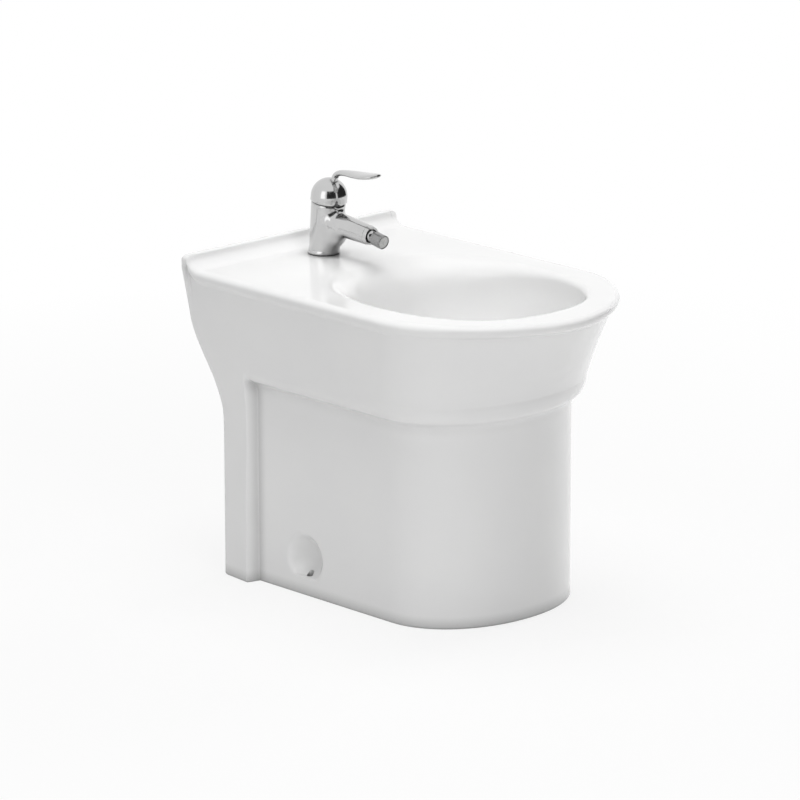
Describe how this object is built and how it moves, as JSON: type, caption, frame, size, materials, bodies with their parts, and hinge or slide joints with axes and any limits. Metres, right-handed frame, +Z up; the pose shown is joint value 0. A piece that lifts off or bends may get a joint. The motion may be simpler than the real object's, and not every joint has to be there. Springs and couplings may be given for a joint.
{
  "type": "floor-standing bidet",
  "caption": "Floor-standing ceramic bidet with an oval bowl, rolled rim and low rear upstand, a single-lever mixer with a swivel nozzle, a click plug waste and a bottle trap.",
  "frame": {"origin": "on the floor, under the middle of the bidet's overall box", "axes": "+Z up, +Y towards the wall behind the bidet, X across it"},
  "size_m": [0.36, 0.527, 0.514],
  "materials": {
    "ceramic": "white glaze",
    "chrome": "polished",
    "brass": "turned",
    "steel": "plain",
    "rubber": "matt",
    "plastic": "moulded"
  },
  "bodies": {
    "bidet": {"ceramic_body": "ceramic", "tap_body": "chrome", "base_ring": "rubber", "cartridge": "plastic", "cartridge_nut": "brass", "tap_stud": "brass", "clamp_washer": "rubber", "clamp_plate": "steel", "clamp_nut": "brass", "nozzle_collar": "chrome", "waste_body": "chrome", "flange_seal": "rubber", "under_seal": "rubber", "waste_nut": "brass", "click_barrel": "brass", "plug_spring": "steel", "tailpiece": "chrome", "inlet_nut": "chrome", "inlet_washer": "rubber", "trap_nut": "chrome", "trap_washer": "rubber", "trap_body": "chrome", "trap_cup": "chrome", "cup_ring": "rubber", "outlet_nut": "chrome", "outlet_washer": "rubber", "outlet_pipe": "chrome"},
    "carrier": {"stem_carrier": "plastic", "stem_pin": "steel"},
    "handle": {"stem": "brass", "handle": "chrome", "handle_screw": "steel", "handle_plug": "chrome"},
    "nozzle_seat": {"nozzle_seat": "plastic"},
    "nozzle": {"swivel_ball": "chrome", "nozzle_barrel": "chrome", "aerator": "plastic", "aerator_washer": "rubber"},
    "plug": {"plug_cap": "chrome", "plug_seal": "rubber", "plug_rod": "steel"}
  },
  "joints": [
    {"name": "handle_turn", "type": "hinge", "parent": "bidet", "child": "carrier", "pos_m": [0, 0.1945, 0.397], "axis": [0, -0.1392, 0.9903], "range_deg": [-45, 45]},
    {"name": "handle_lift", "type": "hinge", "parent": "carrier", "child": "handle", "pos_m": [0, 0.18664, 0.45295], "axis": [-1, 0, 0], "range_deg": [0, 20]},
    {"name": "nozzle_roll", "type": "hinge", "parent": "bidet", "child": "nozzle_seat", "pos_m": [0, 0.1095, 0.43441], "axis": [0, -0.9962, -0.0872], "continuous": true},
    {"name": "nozzle_tilt", "type": "hinge", "parent": "nozzle_seat", "child": "nozzle", "pos_m": [0, 0.1095, 0.43441], "axis": [1, 0, 0], "range_deg": [-26, 14]},
    {"name": "plug_lift", "type": "slide", "parent": "bidet", "child": "plug", "axis": [0, 0, 1], "range_m": [0, 0.009], "deforming": ["plug_spring"]}
  ]
}
